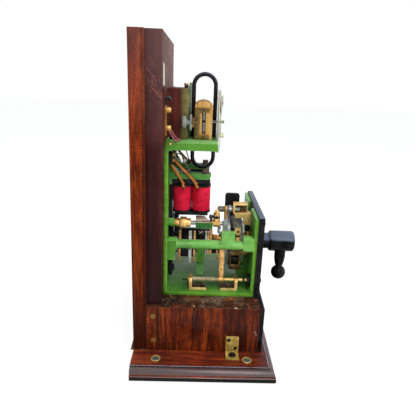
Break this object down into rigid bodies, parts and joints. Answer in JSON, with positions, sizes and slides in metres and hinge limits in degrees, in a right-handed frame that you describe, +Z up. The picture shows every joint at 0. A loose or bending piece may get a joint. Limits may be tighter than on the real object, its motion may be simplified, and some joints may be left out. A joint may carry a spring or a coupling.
{
  "type": "railway block instrument",
  "caption": "Railway block instrument without its cover: mahogany case, green cast frame, drop-handle commutator, lock magnets, spring plunger and needle indicator",
  "frame": {"origin": "centre of the base board's underside", "axes": "+Z up, -Y towards the handle and dial, +X to the right of someone who faces the front"},
  "size_m": [0.401, 0.3318, 0.6054],
  "materials": {
    "mahogany": "worn French polish",
    "dark_wood": "dark stain, unpolished",
    "black_wood": "black polish",
    "green_casting": "green enamel, worn at the edges",
    "black_paint": "black japan",
    "brass": "old lacquer, slightly tarnished",
    "steel": "turned, dull",
    "iron": "soft iron with a brown skin",
    "magnet_steel": "black varnish",
    "ebonite": "polished hard rubber",
    "red_tape": "red cotton tape",
    "orange_sleeve": "varnished sleeving",
    "boxwood": "varnished",
    "white_enamel": "white enamel"
  },
  "bodies": {
    "case": {"base_board": "mahogany", "plinth_sides": "mahogany", "plinth_top": "mahogany", "plinth_front": "black_wood", "plinth_rail": "dark_wood", "back_board": "mahogany", "back_facing": "mahogany", "inner_backboard": "dark_wood", "back_sill_strip": "brass", "screw_cups": "brass", "wood_screws": "brass", "cover_catches": "brass", "main_frame": "green_casting", "side_bar": "green_casting", "frame_bolts": "steel", "front_plate": "black_paint", "plate_screws": "brass", "bearing_bushes": "brass", "contact_block": "ebonite", "contact_springs": "brass", "mechanism_screws": "brass", "brake_fork": "brass", "cage_bracket": "brass", "cage_post": "brass", "ebonite_plate": "ebonite", "magnet_brackets": "green_casting", "yoke_bolts": "iron", "magnet_irons": "iron", "coil_cheeks": "ebonite", "coil_windings": "red_tape", "coil_leads": "orange_sleeve", "coil_board": "ebonite", "rocker_bearing": "steel", "plunger_brackets": "brass", "indicator_block": "dark_wood", "indicator_tray": "brass", "polar_magnets": "magnet_steel", "indicator_bobbins": "boxwood", "pivot_screw": "steel", "dial": "white_enamel"},
    "crank": {"main_shaft": "steel", "handle_hub": "ebonite", "handle_arm": "ebonite", "commutator_drum": "ebonite", "commutator_segments": "brass", "ratchet_wheel": "steel", "brake_drum": "steel", "shaft_collars": "brass"},
    "roller": {"brake_roller": "ebonite"},
    "pawl_body": {"pawl_shaft": "steel", "pawl": "steel", "drop_arm": "brass"},
    "rocker": {"rocking_shaft": "steel", "rocker_collars": "brass", "armature": "iron", "lock_lever": "brass"},
    "plunger": {"plunger_rod": "brass", "plunger_arm": "brass", "plunger_spring": "steel"},
    "needle_body": {"needle": "steel"}
  },
  "joints": [
    {"name": "handle_turn", "type": "hinge", "parent": "case", "child": "crank", "pos_m": [0, 0, 0.2058], "axis": [0, -1, 0], "continuous": true},
    {"name": "roller_spin", "type": "hinge", "parent": "case", "child": "roller", "pos_m": [-0.0565, -0.0595, 0.1878], "axis": [0, -1, 0], "continuous": true},
    {"name": "pawl_lift", "type": "hinge", "parent": "case", "child": "pawl_body", "pos_m": [-0.022, -0.045, 0.2815], "axis": [0, -1, 0], "range_deg": [0, 15]},
    {"name": "armature_lift", "type": "hinge", "parent": "case", "child": "rocker", "pos_m": [-0.066, 0, 0.2655], "axis": [0, -1, 0], "range_deg": [0, 10]},
    {"name": "plunger_push", "type": "slide", "parent": "case", "child": "plunger", "axis": [0, 1, 0], "range_m": [0, 0.01], "stiffness_N_per_m": 200, "springref_m": -0.004, "deforming": ["plunger_spring"]},
    {"name": "needle_swing", "type": "hinge", "parent": "case", "child": "needle_body", "pos_m": [0, 0, 0.4554], "axis": [0, -1, 0], "range_deg": [-20, 20]}
  ],
  "couplings": [
    {"joint": "roller_spin", "follows": "handle_turn", "ratio": -7.4286}
  ]
}
